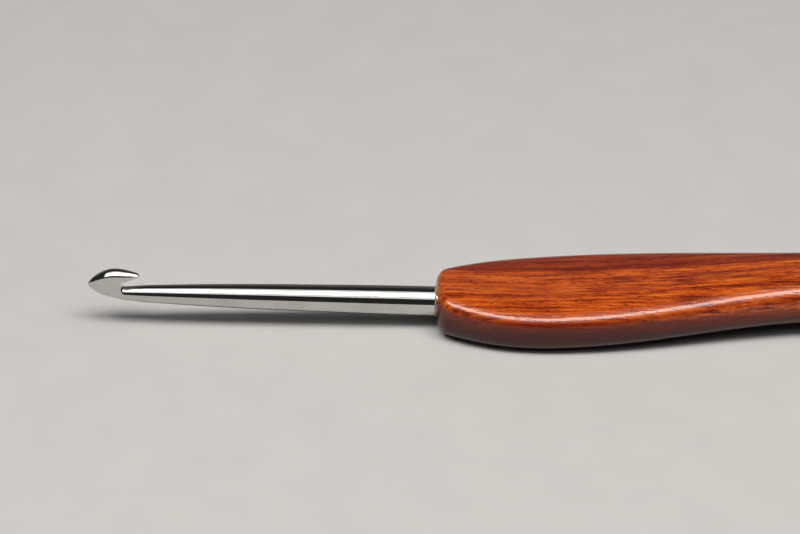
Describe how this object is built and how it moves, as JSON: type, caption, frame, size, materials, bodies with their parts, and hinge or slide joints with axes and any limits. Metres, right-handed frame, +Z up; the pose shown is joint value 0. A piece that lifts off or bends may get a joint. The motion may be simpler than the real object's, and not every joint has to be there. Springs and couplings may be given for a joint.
{
  "type": "crochet hook",
  "caption": "Slim polished steel crochet hook with a tapered throat, glued into a flat, sculpted hardwood handle with a finger waist.",
  "frame": {"origin": "middle of the underside of the bounding box, on the surface that the hook lies on", "axes": "+X from the tip of the hook to the butt of the handle, +Z up with the mouth of the hook open upwards, +Y to the far side of the handle"},
  "size_m": [0.1384, 0.0164, 0.0079],
  "materials": {
    "polished_steel": "mirror polished",
    "lacquered_hardwood": "gloss lacquer",
    "clear_epoxy": "cured adhesive"
  },
  "bodies": {
    "root": {"steel_hook": "polished_steel", "wooden_handle": "lacquered_hardwood", "tang_adhesive": "clear_epoxy"}
  },
  "joints": []
}
